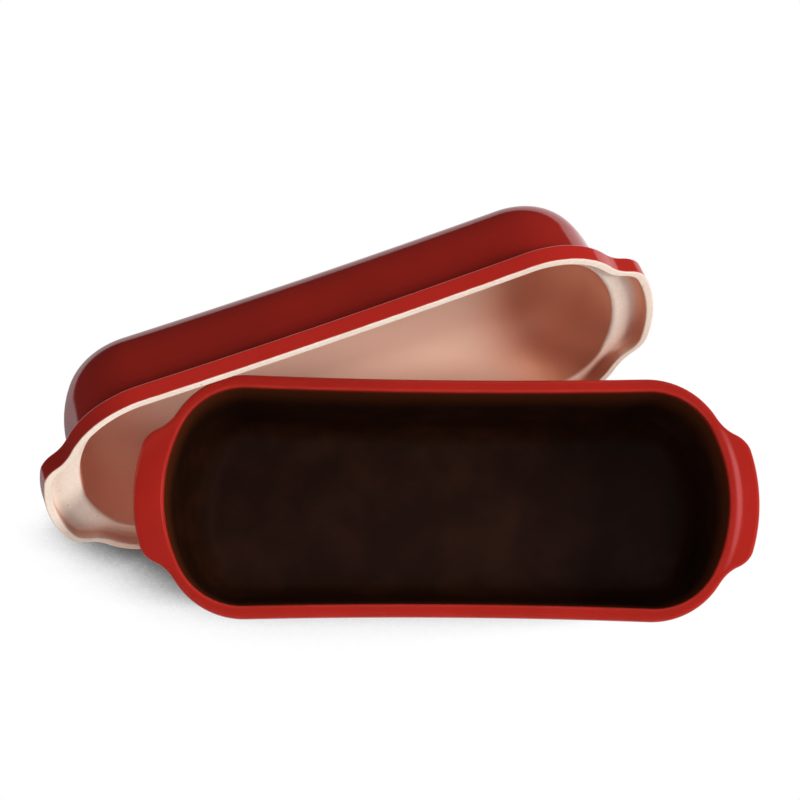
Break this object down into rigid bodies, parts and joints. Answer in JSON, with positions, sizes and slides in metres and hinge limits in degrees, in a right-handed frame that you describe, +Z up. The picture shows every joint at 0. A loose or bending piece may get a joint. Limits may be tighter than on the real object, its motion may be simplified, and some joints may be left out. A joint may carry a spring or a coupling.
{
  "type": "loaf baker",
  "caption": "Long glazed ceramic trough with tab handles and a domed lid with a stepped skirt, open, the trough resting on the mouth of the lid lying on its side.",
  "frame": {"origin": "on the floor, under the middle of the pair's bounding box", "axes": "+X along the base's length to the viewer's right, +Y away from the viewer, +Z up"},
  "size_m": [0.4354, 0.2546, 0.1598],
  "materials": {
    "base_glaze": "glossy red glaze outside and on the rim, near-black satin glaze inside",
    "lid_glaze": "glossy red glaze outside, bare pale clay inside and on the skirt's lower edge"
  },
  "bodies": {
    "lid": {"lid": "lid_glaze"},
    "base": {"base": "base_glaze"}
  },
  "joints": [
    {"name": "base_draw", "type": "slide", "parent": "lid", "child": "base", "axis": [0.3252, -0.8984, 0.2952], "range_m": [0, 0.2]}
  ]
}
